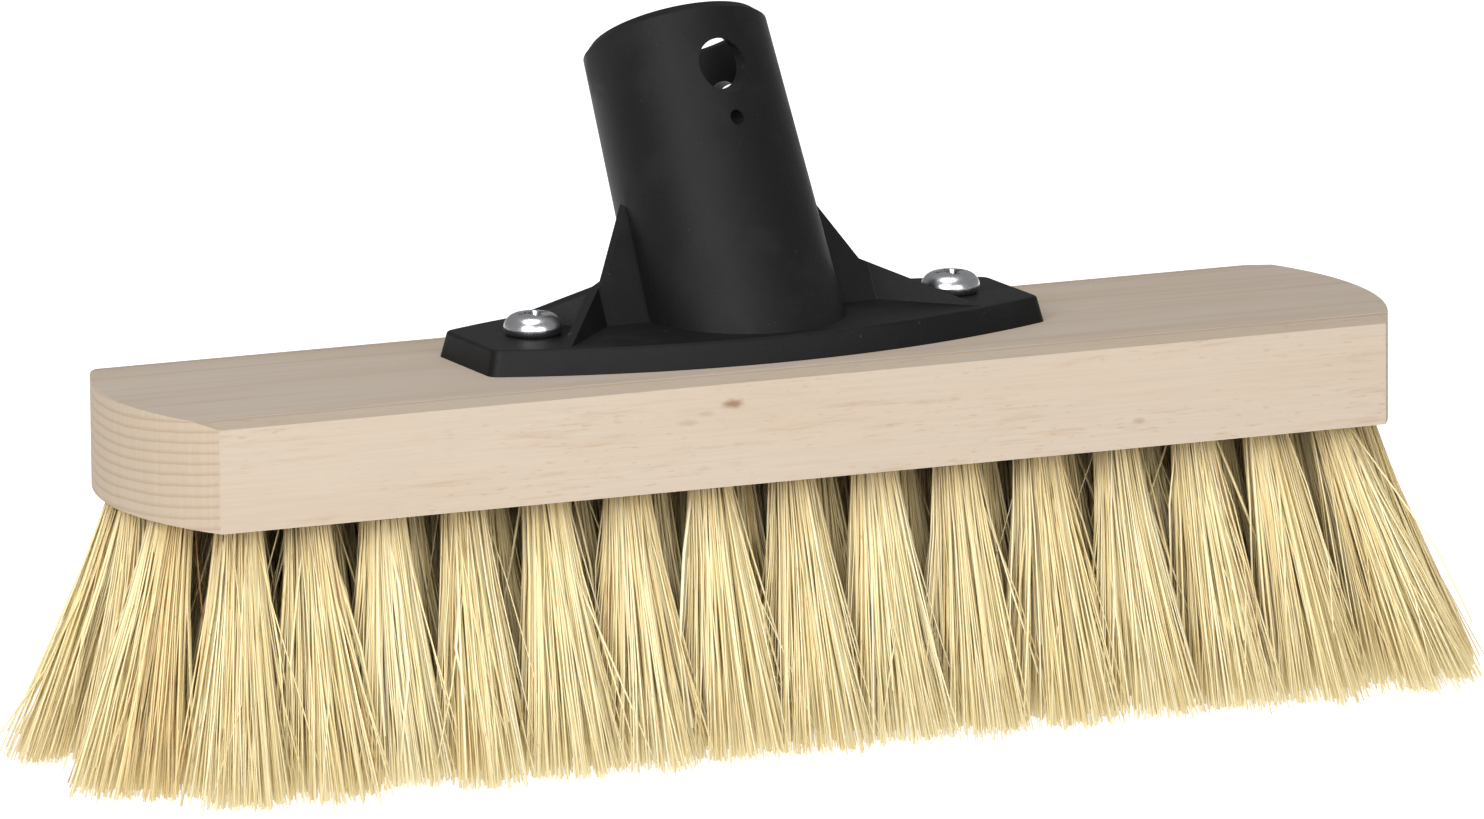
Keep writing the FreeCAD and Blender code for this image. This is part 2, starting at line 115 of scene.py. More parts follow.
class BroomWood(PropertyGroup):
    side: colour("Side grain", "Sanded long faces of the block", (0.455, 0.380, 0.302))
    warm: colour("Warm cast", "Cloudy warmer patches in the side grain", (0.440, 0.350, 0.262))
    fleck: colour("Fleck", "Short ray flecks and pores", (0.350, 0.225, 0.130))
    end: colour("End grain", "Sawn curved ends", (0.430, 0.342, 0.252))
    ring: colour("Growth ring", "Late wood lines on the ends", (0.325, 0.228, 0.152))
    top: colour("Top face", "Planed top, greyer than the sides", (0.476, 0.407, 0.338))
    knot: colour("Pin knot", "Small knot on the front", (0.180, 0.080, 0.032))
    ring_spacing: length("Ring spacing", "One growth ring to the next", 1.95 * MM)
    ring_radius: length("Ring radius", "Growth rings' radius at the block's underside", 0.230)
    ring_centre: place("Ring centre", "The tree's heart, behind the block's middle", 4.0 * MM)
    knot_along: place("Knot along", "Pin knot from the block's middle", -15.7 * MM)
    knot_rise: length("Knot height", "Pin knot above the block's underside", 15.3 * MM)


class BroomPlastic(PropertyGroup):
    body: colour("Plastic", "Black moulded polypropylene", (0.0050, 0.0050, 0.0053))
    rubbed: colour("Rubbed", "Dusty, rubbed areas", (0.012, 0.012, 0.013))
    mark: colour("Nicks", "Pale nicks and specks of dust", (0.080, 0.080, 0.080))
    roughness: share("Roughness", "Satin moulded face", 0.56)
    grain: length("Grain", "Size of the moulded grain", 0.30 * MM)


class BroomMetal(PropertyGroup):
    zinc: colour("Zinc", "Bright plating", (0.700, 0.710, 0.730))
    stain: colour("Passivation", "Duller plating in the recess and at the edge",
                  (0.380, 0.385, 0.400))
    wire: colour("Staple wire", "Drawn flat wire", (0.450, 0.440, 0.430))
    roughness: share("Roughness", "Zinc plate", 0.24)


class BroomFibre(PropertyGroup):
    cream: colour("Cream", "Palest fibres", (0.925, 0.840, 0.580))
    straw: colour("Straw", "Most fibres", (0.890, 0.755, 0.420))
    tan: colour("Tan", "Darker fibres", (0.800, 0.625, 0.310))
    rust: colour("Rust", "Rare bark-stained fibres", (0.480, 0.230, 0.080))
    # Root shade is painted shade: near the block, fibres are drawn towards this colour where the
    # block shades them.
    shade: colour("Root shade", "Painted shade near the fibre roots", (0.600, 0.430, 0.220))
    count: IntProperty(name="Fibres", description="Fibres in one tuft", default=460, min=20,
                       max=900)
    radius: length("Fibre radius", "Mean half thickness of a fibre", 0.205 * MM)
    locks: IntProperty(name="Locks", description="Locks that a tuft parts into", default=11, min=1,
                       max=60)
    gather: share("Gather", "How far fibres draw together in their lock at the tips", 0.24)
    spread: share("Spread", "Extra reach of the tips, as a share of the tuft's tip radius", 0.30)
    pinch: share("Pinch", "Drawn in at the hole, as a share of the tuft's root radius", 0.08)
    # Inner tone is painted shade: the two inner rows' fibres are toned darker to stand for the
    # shade between the tufts.
    inner_rows_painted_shade: share("Inner tone", "How much darker the two inner rows are", 0.13)
    crossing: share("Crossing", "How far a tip strays, as a share of the tuft's tip radius", 0.23)
    bow: length("Bow", "Mean sideways bow of a fibre", 0.45 * MM)
    raggedness: length("Raggedness", "Typical shortness of a trimmed tip", 0.7 * MM)
    strays: share("Strays", "Share of fibres that bend out of their tuft", 0.045)
    stray_reach: length("Stray reach", "How far a stray's tip wanders", 5.5 * MM)


class BroomStage(PropertyGroup):
    azimuth: angle("Azimuth", "Camera, round from the front towards the left end", 22.905)
    elevation: angle("Elevation", "Camera above the horizon", 11.402)
    roll: angle("Roll", "Camera turned about its own line of sight", -0.535)
    distance: length("Distance", "Camera to the block", 2.972)
    lens: FloatProperty(name="Lens", description="Focal length in millimetres", default=389.97)
    aim_right: place("Aim right", "Aim point from the middle of the block's underside", -0.58 * MM)
    aim_up: place("Aim up", "Aim point above that", 6.99 * MM)
    floor: colour("Floor", "Plain pale floor", (0.550, 0.550, 0.550))
    floor_glow: FloatProperty(name="Floor glow", description="Light table under the floor",
                              default=0.86)
    sky: FloatProperty(name="Sky", description="Even light from all round", default=0.28)
    key: FloatProperty(name="Key", description="Soft box power in watts", default=25.0)


# ---------------------------------------------------------------- shader building

class Graph:
    """Adds and links the nodes of one node tree."""

    def __init__(self, tree):
        self.tree = tree

    def feed(self, socket, value):
        """Link a socket, or set its plain value."""
        if isinstance(value, bpy.types.NodeSocket):
            self.tree.links.new(value, socket)
        elif socket.type == "RGBA" and len(value) == 3:
            socket.default_value = (*value, 1.0)
        else:
            socket.default_value = value

    def add(self, kind, values=None, **settings):
        """Add a node with its settings and its inputs."""
        made = self.tree.nodes.new(kind)
        for name, setting in settings.items():
            setattr(made, name, setting)
        for key, value in (values or {}).items():
            self.feed(made.inputs[key], value)
        return made

    def math(self, operation, first, second=0.0, third=0.0):
        node = self.add("ShaderNodeMath", {0: first, 1: second, 2: third}, operation=operation)
        return node.outputs[0]

    def mix(self, factor, first, second, blend="MIX"):
        node = self.add("ShaderNodeMix", {0: factor, 6: first, 7: second},
                        data_type="RGBA", blend_type=blend)
        return node.outputs[2]

    def tinge(self, base, mask, strength, other):
        """Base colour, drawn towards another where the mask is, at most by a strength."""
        return self.mix(self.math("MULTIPLY", mask, strength), base, other)

    def fit(self, value, low, high, to_low=0.0, to_high=1.0):
        """Smooth step from one range to another."""
        node = self.add("ShaderNodeMapRange", {0: value, 1: low, 2: high, 3: to_low, 4: to_high},
                        interpolation_type="SMOOTHSTEP")
        return node.outputs[0]

    def placed(self, vector, scale=(1.0, 1.0, 1.0), centre=(0.0, 0.0, 0.0), turn=(0.0, 0.0, 0.0)):
        """Coordinates about a centre, turned and scaled."""
        moved = self.add("ShaderNodeMapping", {"Vector": vector, "Location": Vector(centre) * -1},
                         vector_type="POINT").outputs[0]
        node = self.add("ShaderNodeMapping", {"Vector": moved, "Rotation": turn, "Scale": scale},
                        vector_type="POINT")
        return node.outputs[0]

    def noise(self, vector, scale, detail=2.0, roughness=0.5):
        node = self.add("ShaderNodeTexNoise", {"Vector": vector, "Scale": scale, "Detail": detail,
                                               "Roughness": roughness})
        return node.outputs["Fac"]

    def split(self, vector):
        return self.add("ShaderNodeSeparateXYZ", {0: vector}).outputs

    def call(self, group, **values):
        """Place a shared effect with its own values."""
        node = self.add("ShaderNodeGroup", node_tree=group)
        for name, value in values.items():
            self.feed(node.inputs[name.replace("_", " ")], value)
        return node.outputs


def new_group(name, inputs, outputs):
    """Shared effect: a node group with named sockets, and its graph, input and output nodes."""
    tree = bpy.data.node_groups.new(name, "ShaderNodeTree")
    for label, kind, default in inputs:
        socket = tree.interface.new_socket(label, in_out="INPUT", socket_type="NodeSocket" + kind)
        if default is not None:
            socket.default_value = default
    for label, kind in outputs:
        tree.interface.new_socket(label, in_out="OUTPUT", socket_type="NodeSocket" + kind)
    graph = Graph(tree)
    return tree, graph, graph.add("NodeGroupInput").outputs, graph.add("NodeGroupOutput").inputs


def shared_group(name, build):
    """The group of that name, built the first time that it is asked for."""
    found = bpy.data.node_groups.get(name)
    return found if found else build(name)


def build_rings(name):
    """Growth rings about a line along X: thin late wood lines that fade out on one side."""
    tree, g, given, out = new_group(
        name,
        [("Vector", "Vector", None), ("Centre Y", "Float", 0.0), ("Centre Z", "Float", 0.0),
         ("Spacing", "Float", 2.0 * MM), ("Waver", "Float", 0.6 * MM)],
        [("Line", "Float"), ("Band", "Float")])
    wander = g.noise(g.placed(given["Vector"], (6.0, 30.0, 30.0)), 1.0, 2.0)
    ripple = g.noise(g.placed(given["Vector"], (12.0, 260.0, 260.0)), 1.0, 3.0)
    _, y, z = g.split(given["Vector"])
    across = g.math("SUBTRACT", y, given["Centre Y"])
    above = g.math("SUBTRACT", z, given["Centre Z"])
    radius = g.math("SQRT", g.math("ADD", g.math("MULTIPLY", across, across),
                                   g.math("MULTIPLY", above, above)))
    shift = g.math("MULTIPLY", g.math("SUBTRACT", wander, 0.5), 3.0)
    shift = g.math("ADD", shift, g.math("MULTIPLY", g.math("SUBTRACT", ripple, 0.5), 0.6))
    radius = g.math("ADD", radius, g.math("MULTIPLY", shift, given["Waver"]))
    phase = g.math("FRACT", g.math("DIVIDE", radius, given["Spacing"]))
    rise = g.fit(phase, 0.45, 0.93)
    fall = g.fit(phase, 0.93, 1.0, 1.0, 0.0)
    g.feed(out["Line"], g.math("MULTIPLY", g.math("POWER", rise, 2.0), fall))
    g.feed(out["Band"], g.math("MULTIPLY", rise, fall))
    return tree


def build_specks(name):
    """Scattered small marks: a noise field cut off near its crests."""
    tree, g, given, out = new_group(
        name,
        [("Vector", "Vector", None), ("Scale", "Float", 1000.0), ("Cut", "Float", 0.7),
         ("Softness", "Float", 0.05)],
        [("Mask", "Float")])
    field = g.noise(given["Vector"], given["Scale"], 1.5)
    high = g.math("ADD", given["Cut"], given["Softness"])
    g.feed(out["Mask"], g.fit(field, given["Cut"], high))
    return tree


def build_relief(name):
    """Normal from a fine and a coarse noise over the surface."""
    tree, g, given, out = new_group(
        name,
        [("Vector", "Vector", None), ("Fine Scale", "Float", 4000.0),
         ("Coarse Scale", "Float", 300.0), ("Coarse Share", "Float", 0.3),
         ("Strength", "Float", 0.2), ("Depth", "Float", 0.1 * MM)],
        [("Normal", "Vector")])
    fine = g.noise(given["Vector"], given["Fine Scale"], 2.0)
    coarse = g.noise(given["Vector"], given["Coarse Scale"], 2.0)
    height = g.math("ADD", fine, g.math("MULTIPLY", coarse, given["Coarse Share"]))
    bump = g.add("ShaderNodeBump", {"Strength": given["Strength"], "Distance": given["Depth"],
                                    "Height": height})
    g.feed(out["Normal"], bump.outputs[0])
    return tree


def build_spot(name):
    """Soft oval spot about a centre: 1 in the middle, 0 outside."""
    tree, g, given, out = new_group(
        name, [("Vector", "Vector", None), ("Edge", "Float", 1.0)], [("Mask", "Float")])
    ragged = g.noise(given["Vector"], 1.7, 3.0)
    middle = g.add("ShaderNodeVectorMath", {0: given["Vector"]}, operation="LENGTH")
    reach = middle.outputs["Value"]
    reach = g.math("ADD", reach, g.math("MULTIPLY", g.math("SUBTRACT", ragged, 0.5), 0.8))
    g.feed(out["Mask"], g.fit(reach, 0.15, given["Edge"], 1.0, 0.0))
    return tree


def rings():
    return shared_group("growth rings", build_rings)


def specks():
    return shared_group("specks", build_specks)


def relief():
    return shared_group("relief", build_relief)


def spot():
    return shared_group("spot", build_spot)


def new_material(name):
    """Material with its graph, its Principled BSDF and its object coordinates."""
    material = bpy.data.materials.new(name)
    material.use_nodes = True
    graph = Graph(material.node_tree)
    shader = next(n for n in material.node_tree.nodes if n.type == "BSDF_PRINCIPLED")
    return material, graph, shader, graph.add("ShaderNodeTexCoord").outputs


# How far the curved ends stand past the corners of the long faces, and the corner's own width.
END_SAG = 9.0 * MM
END_FADE = 0.3 * MM
# Start and end of a fade, below the top face: of the planed face, and of the line under it.
TOP_FADE = (0.14 * MM, 0.06 * MM)
LINE_FADE = (0.24 * MM, 0.12 * MM)
# Noise scales in waves a metre: along the grain, across it and up.
CLOUD_WAVES = (14.0, 60.0, 70.0)
THREAD_WAVES = (60.0, 2600.0, 2600.0)
FLECK_WAVES = (300.0, 1100.0, 1500.0)
FIELD_WAVES = (16.0, 90.0, 120.0)
PORE_WAVES = (420.0, 4200.0, 4200.0)
DASH_WAVES = (75.0, 900.0, 900.0)
STREAK_WAVES = (10.0, 420.0, 420.0)
RAY_WAVES = (700.0, 1500.0, 60.0)
# Marks about the pin knot: along and up from it, half length, half height and strength.
KNOT_MARKS = (
    (0.0, 0.0, 2.9 * MM, 1.25 * MM, 0.75),
    (-9.0 * MM, -2.8 * MM, 2.9 * MM, 0.9 * MM, 0.22),
    (-5.4 * MM, -1.4 * MM, 2.4 * MM, 0.8 * MM, 0.20),
    (81.3 * MM, -10.3 * MM, 1.8 * MM, 0.9 * MM, 0.32),
)
KNOT_DEPTH = 9.0 * MM
KNOT_TILT = math.radians(9.0)


def wood_material(look):
    """Sanded beech: flecked side grain, ringed end grain and a greyer planed top."""
    material, g, shader, coords = new_material("beech")
    here = coords["Object"]
    along, _, height = g.split(here)
    corner = BLOCK_HIGH.x - END_SAG
    end_face = g.fit(g.math("ABSOLUTE", along), corner, corner + END_FADE)
    crest = BLOCK_HIGH.z
    top_face = g.fit(height, crest - TOP_FADE[0], crest - TOP_FADE[1])
    under_top = g.fit(height, crest - LINE_FADE[0], crest - LINE_FADE[1])
    bevel_edge = g.math("SUBTRACT", under_top, top_face)
    middle_z = BLOCK_LOW.z + look.ring_radius

    ring = g.call(rings(), Vector=here, Centre_Y=look.ring_centre, Centre_Z=middle_z,
                  Spacing=look.ring_spacing, Waver=0.45 * MM)
    cloud = g.fit(g.noise(g.placed(here, CLOUD_WAVES), 1.0, 3.0), 0.35, 0.7)
    thread = g.noise(g.placed(here, THREAD_WAVES), 1.0, 2.0)
    fleck = g.call(specks(), Vector=g.placed(here, FLECK_WAVES), Scale=1.0, Cut=0.62,
                   Softness=0.09)["Mask"]
    fleck_field = g.fit(g.noise(g.placed(here, FIELD_WAVES), 1.0, 1.0), 0.36, 0.60)
    pore = g.call(specks(), Vector=g.placed(here, PORE_WAVES), Scale=1.0, Cut=0.66,
                  Softness=0.06)["Mask"]

    side = g.tinge(look.side, cloud, 0.5, look.warm)
    side = g.tinge(side, ring["Band"], 0.08, look.warm)
    side = g.tinge(side, g.math("MULTIPLY", fleck, fleck_field), 0.36, look.fleck)
    dash = g.fit(g.noise(g.placed(here, DASH_WAVES), 1.0, 3.0, 0.6), 0.52, 0.78)
    side = g.tinge(side, g.math("MULTIPLY", dash, fleck_field), 0.45, look.fleck)
    side = g.tinge(side, pore, 0.10, look.fleck)

    top = g.tinge(look.top, cloud, 0.55, look.warm)
    streak = g.fit(g.noise(g.placed(here, STREAK_WAVES), 1.0, 3.0), 0.45, 0.8)
    top = g.tinge(top, streak, 0.32, look.fleck)
    top = g.tinge(top, pore, 0.14, look.fleck)

    ray = g.noise(g.placed(here, RAY_WAVES), 1.0, 2.0)
    end = g.mix(g.fit(ray, 0.35, 0.75, 0.0, 0.5), look.end, look.side)
    end = g.tinge(end, ring["Band"], 0.24, look.ring)
    end = g.tinge(end, ring["Line"], 0.40, look.ring)

    tint = g.tinge(side, bevel_edge, 0.5, look.fleck)
    tint = g.mix(end_face, tint, end)
    tint = g.mix(top_face, tint, top)
    level = g.fit(thread, 0.3, 0.7, 0.975, 1.02)
    grey = g.add("ShaderNodeCombineColor", {0: level, 1: level, 2: level}).outputs[0]
    tint = g.mix(1.0, tint, grey, "MULTIPLY")
    for beside, above, long, tall, strength in KNOT_MARKS:
        centre = (look.knot_along + beside, BLOCK_LOW.y, BLOCK_LOW.z + (look.knot_rise + above))
        oval = g.placed(here, (1 / long, 1 / KNOT_DEPTH, 1 / tall), centre, (0.0, KNOT_TILT, 0.0))
        mask = g.call(spot(), Vector=oval, Edge=1.0)["Mask"]
        tint = g.tinge(tint, mask, strength, look.knot)
    g.feed(shader.inputs["Base Color"], tint)

    rough = g.fit(thread, 0.3, 0.7, 0.62, 0.74)
    g.feed(shader.inputs["Roughness"], rough)
    shader.inputs["Specular IOR Level"].default_value = 0.25
    surface = g.math("ADD", thread, g.math("MULTIPLY", ring["Line"], -0.6))
    surface = g.math("SUBTRACT", surface, g.math("MULTIPLY", pore, 0.8))
    bump = g.add("ShaderNodeBump", {"Strength": 0.35, "Distance": 0.05 * MM, "Height": surface})
    g.feed(shader.inputs["Normal"], bump.outputs[0])
    return material


def plastic_material(look):
    """Black satin moulding with a fine grain, rubbed patches, nicks and specks of dust."""
    material, g, shader, coords = new_material("black plastic")
    here = coords["Object"]
    rub = g.fit(g.noise(here, 70.0, 4.0, 0.6), 0.45, 0.75)
    grain = g.noise(here, 1.0 / look.grain, 1.0)
    dust = g.call(specks(), Vector=here, Scale=1100.0, Cut=0.76, Softness=0.05)["Mask"]
    nick = g.call(specks(), Vector=g.placed(here, (320.0, 700.0, 140.0), turn=(0.3, 0.5, 0.2)),
                  Scale=1.0, Cut=0.77, Softness=0.04)["Mask"]
    tint = g.tinge(look.body, rub, 0.6, look.rubbed)
    tint = g.mix(g.fit(grain, 0.4, 0.8, 0.0, 0.35), tint, look.rubbed)
    tint = g.tinge(tint, dust, 0.35, look.mark)
    tint = g.tinge(tint, nick, 0.5, look.mark)
    g.feed(shader.inputs["Base Color"], tint)
    rough = g.fit(rub, 0.0, 1.0, look.roughness - 0.05, look.roughness + 0.10)
    g.feed(shader.inputs["Roughness"], rough)
    shader.inputs["Specular IOR Level"].default_value = 0.2
    normal = g.call(relief(), Vector=here, Fine_Scale=1.0 / look.grain, Coarse_Scale=160.0,
                    Coarse_Share=2.0, Strength=0.6, Depth=0.06 * MM)["Normal"]
    g.feed(shader.inputs["Normal"], normal)
    return material


# Size of the pitting, in waves a metre, and how much rougher the staple wire is than the plating.
ZINC_SCALE = 900.0
WIRE_SCALE = 1500.0
WIRE_ROUGHER = 0.1


def metal_material(name, bright, dull, roughness, scale):
    """Plated or drawn steel with slight pitting and a duller bloom."""
    material, g, shader, coords = new_material(name)
    here = coords["Object"]
    bloom = g.fit(g.noise(here, scale * 0.25, 3.0), 0.4, 0.75)
    pit = g.call(specks(), Vector=here, Scale=scale * 4.0, Cut=0.64, Softness=0.08)["Mask"]
    tint = g.tinge(bright, bloom, 0.5, dull)
    tint = g.tinge(tint, pit, 0.5, dull)
    g.feed(shader.inputs["Base Color"], tint)
    shader.inputs["Metallic"].default_value = 1.0
    rough = g.math("ADD", g.math("MULTIPLY", bloom, 0.12), g.math("MULTIPLY", pit, 0.15))
    g.feed(shader.inputs["Roughness"], g.math("ADD", rough, roughness))
    normal = g.call(relief(), Vector=here, Fine_Scale=scale * 3.0, Coarse_Scale=scale * 0.5,
                    Coarse_Share=0.6, Strength=0.18, Depth=0.03 * MM)["Normal"]
    g.feed(shader.inputs["Normal"], normal)
    return material


def fibre_material(look):
    """Natural plant fibre: each fibre has its own tone, paler and darker runs along it, and
    painted shade darkens it towards the root.
    """
    material, g, shader, coords = new_material("plant fibre")
    here = coords["Object"]
    tone = g.add("ShaderNodeAttribute", attribute_name="fibre_tone").outputs["Fac"]
    run = g.add("ShaderNodeAttribute", attribute_name="fibre_run").outputs["Fac"]
    streak = g.noise(g.placed(here, (900.0, 900.0, 90.0)), 1.0, 3.0)
    level = g.math("ADD", tone, g.fit(streak, 0.25, 0.75, -0.10, 0.10))
    ramp = g.add("ShaderNodeValToRGB", {0: level})
    stops = [(0.0, look.cream), (0.42, look.straw), (0.80, look.tan), (0.97, look.rust)]
    while len(ramp.color_ramp.elements) < len(stops):
        ramp.color_ramp.elements.new(0.5)
    for element, (position, tint) in zip(ramp.color_ramp.elements, stops):
        element.position = position
        element.color = (*tint, 1.0)
    # Painted shade: over the first part of their length below the block, fibres darken towards the
    # root shade colour.
    root_painted_shade_mask = g.fit(run, 0.0, 0.28, 0.35, 0.0)
    tint = g.mix(root_painted_shade_mask, ramp.outputs[0], look.shade)
    speck = g.call(specks(), Vector=g.placed(here, (1.0, 1.0, 0.35)), Scale=900.0, Cut=0.72,
                   Softness=0.05)["Mask"]
    tint = g.tinge(tint, speck, 0.45, look.rust)
    g.feed(shader.inputs["Base Color"], tint)
    g.feed(shader.inputs["Roughness"], g.fit(streak, 0.2, 0.8, 0.42, 0.62))
    shader.inputs["Specular IOR Level"].default_value = 0.4
    rib = g.noise(g.placed(here, (2600.0, 2600.0, 200.0)), 1.0)
    bump = g.add("ShaderNodeBump", {"Strength": 0.4, "Distance": 0.04 * MM, "Height": rib})
    g.feed(shader.inputs["Normal"], bump.outputs[0])
    return material


# ---------------------------------------------------------------- pieces

def finish_cad(name, material):
    """Give a carried-over CAD node its finish."""
    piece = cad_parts[name]
    piece.data.materials.clear()
    piece.data.materials.append(material)
    return piece


def add_piece(name, mesh, material, slot_name, *replaced):
    """Link a finished mesh as a piece of the object."""
    mesh.materials.clear()
    mesh.materials.append(material)
    piece = bpy.data.objects.new(name, mesh)
    bpy.context.scene.collection.objects.link(piece)
    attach(piece, "root")
    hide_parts(*replaced)
    return piece


WELD = 0.001 * MM
LEVEL = 0.01 * MM


def tuft_lines(name):
    """Root centre, tip centre, root radius and tip radius of each bundle in a CAD node."""
    source = bmesh.new()
    source.from_mesh(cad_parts[name].data)
    bmesh.ops.remove_doubles(source, verts=source.verts, dist=WELD)
    waiting = set(source.verts)
    lines = []
    while waiting:
        edge_of_search = [waiting.pop()]
        bundle = []
        while edge_of_search:
            vert = edge_of_search.pop()
            bundle.append(vert.co.copy())
            for edge in vert.link_edges:
                other = edge.other_vert(vert)
                if other in waiting:
                    waiting.remove(other)
                    edge_of_search.append(other)
        lines.append(tuft_line(bundle))
    source.free()
    return sorted(lines, key=lambda line: line[0].x)


def tuft_line(points):
    """Centre line and end radii of one bundle, from its rings at the block and at the floor."""
    found = []
    for height in (BLOCK_LOW.z, CAD_LOW.z):
        ring = [p for p in points if abs(p.z - height) < LEVEL]
        low = Vector((min(p.x for p in ring), min(p.y for p in ring), height))
        high = Vector((max(p.x for p in ring), max(p.y for p in ring), height))
        found.append(((low + high) / 2, (high.x - low.x) / 2))
    (root, root_radius), (tip, tip_radius) = found
    return root, tip, root_radius, tip_radius


FIBRE_SIDES = 3
FIBRE_JOINTS = 3
# Length of fibre inside the hole, and the least height of a tip over the floor.
HIDDEN_LENGTH = 2.5 * MM
TIP_REST = 0.02 * MM
# How late a tuft flares, how much a fibre thins to its tip and how widths differ.
FLARE_POWER = 1.2
TIP_TAPER = 0.35
WIDTH_SPREAD = 0.28
# Some fibres are flat: their share, and their width and thickness beside a round one's.
FLAT_SHARE = 0.05
FLAT_WIDE = 1.9
FLAT_THIN = 0.6
# Locks: how near the rim they gather, how far their tips wander and how their tones differ.
LOCK_REACH = 0.9
LOCK_WANDER = 0.09
LOCK_TONE = 0.07
# Strays: furthest reach, in stray reaches, extra bow and most shortness.
STRAY_LIMIT = 1.6
STRAY_BOW = 5.0
STRAY_SHORT = 14.0 * MM
# Tone of a fibre: shape of its spread, its scale, its darkest value and the share of rust ones.
TONE_SHAPE = (2.1, 3.0)
TONE_SCALE = 0.9
TONE_LIMIT = 0.80
RUST_SHARE = 0.006
# Wear: how far the row's first tips are pushed, over what length, and how deep the row stands.
WORN_PUSH = 12.0 * MM
WORN_LENGTH = 45.0 * MM
FRONT_DEPTH = 14.0 * MM
# First seeds of the single tufts' rows and of the rows that share a node.
ROW_SEED = 1000
INNER_SEED = 9000


def blank_fibres(count):
    """Mesh of many equal fibres, one on the other, each a thin prism from 0 to 1 along Z."""
    bm = bmesh.new()
    bmesh.ops.create_cone(bm, cap_ends=True, cap_tris=False, segments=FIBRE_SIDES, radius1=1.0,
                          radius2=1.0, depth=1.0)
    bmesh.ops.translate(bm, verts=bm.verts, vec=(0.0, 0.0, 0.5))
    upright = [e for e in bm.edges if abs(e.verts[0].co.z - e.verts[1].co.z) > 0.5]
    bmesh.ops.subdivide_edges(bm, edges=upright, cuts=FIBRE_JOINTS - 1, use_grid_fill=True)
    bmesh.ops.triangulate(bm, faces=bm.faces)
    bmesh.ops.recalc_face_normals(bm, faces=bm.faces)
    each = len(bm.verts)
    while len(bm.verts) < count * each:
        bmesh.ops.duplicate(bm, geom=bm.verts[:] + bm.edges[:] + bm.faces[:])
    bm.verts.ensure_lookup_table()
    spare = bm.verts[count * each:]
    bmesh.ops.delete(bm, geom=spare, context="VERTS")
    for face in bm.faces:
        face.smooth = True
    mesh = bpy.data.meshes.new("fibres")
    bm.to_mesh(mesh)
    bm.free()
    flat = np.zeros(len(mesh.vertices) * 3)
    mesh.vertices.foreach_get("co", flat)
    shape = flat.reshape(count, each, 3)
    if not np.allclose(shape, shape[0]):
        raise RuntimeError("fibres are out of order")
    return mesh, shape[0]


def on_disc(random, count):
    """Even random places on a disc of radius 1."""
    reach = np.sqrt(random.uniform(0.0, 1.0, count))
    turn = random.uniform(0.0, 2.0 * math.pi, count)
    return np.stack([np.cos(turn), np.sin(turn)], 1) * reach[:, None]


def worn_tip(root, tip):
    """Tip centre; use has bent the first tufts of the front row towards the middle."""
    if root.y - BLOCK_LOW.y > FRONT_DEPTH:
        return tip
    nearness = max(0.0, 1.0 - (root.x - BLOCK_LOW.x) / WORN_LENGTH)
    return tip + Vector((WORN_PUSH * nearness, 0.0, 0.0))


def fibre_paths(line, look, random, painted_shade_tone):
    """One tuft's fibres, a row each: offsets at root and tip, bow, shortness and tone, with any
    painted shade added to the tone.
    """
    _, _, root_radius, tip_radius = line
    count = look.count
    seat = on_disc(random, count)
    centres = on_disc(random, look.locks) * LOCK_REACH
    lock = np.argmin(((seat[:, None] - centres[None]) ** 2).sum(2), 1)
    gathered = seat + (centres[lock] - seat) * look.gather
    reach = tip_radius * (1.0 + look.spread)
    at_root = seat * (root_radius * (1.0 - look.pinch) - look.radius)
    at_tip = gathered * reach + random.normal(0.0, look.crossing * tip_radius, (count, 2))
    at_tip += random.normal(0.0, LOCK_WANDER * tip_radius, (look.locks, 2))[lock]
    stray = random.uniform(0.0, 1.0, count) < look.strays
    at_tip += stray[:, None] * random.normal(0.0, look.stray_reach, (count, 2))
    furthest = tip_radius + look.stray_reach * STRAY_LIMIT
    at_tip *= np.minimum(1.0, furthest / np.linalg.norm(at_tip, axis=1))[:, None]
    bow = random.normal(0.0, look.bow, (count, 2)) * (1.0 + STRAY_BOW * stray[:, None])
    short = np.abs(random.normal(0.0, look.raggedness, count))
    short += np.abs(random.normal(0.0, look.raggedness, look.locks))[lock]
    short += stray * random.uniform(0.0, STRAY_SHORT, count)
    tone = random.beta(*TONE_SHAPE, count) * TONE_SCALE
    tone += random.normal(0.0, LOCK_TONE, look.locks)[lock]
    # Painted shade: the extra tone darkens the fibres of the inner rows.
    tone = np.clip(tone + painted_shade_tone, 0.0, TONE_LIMIT)
    tone = np.where(random.uniform(0.0, 1.0, count) < RUST_SHARE, 1.0, tone)
    return at_root, at_tip, bow, short, tone


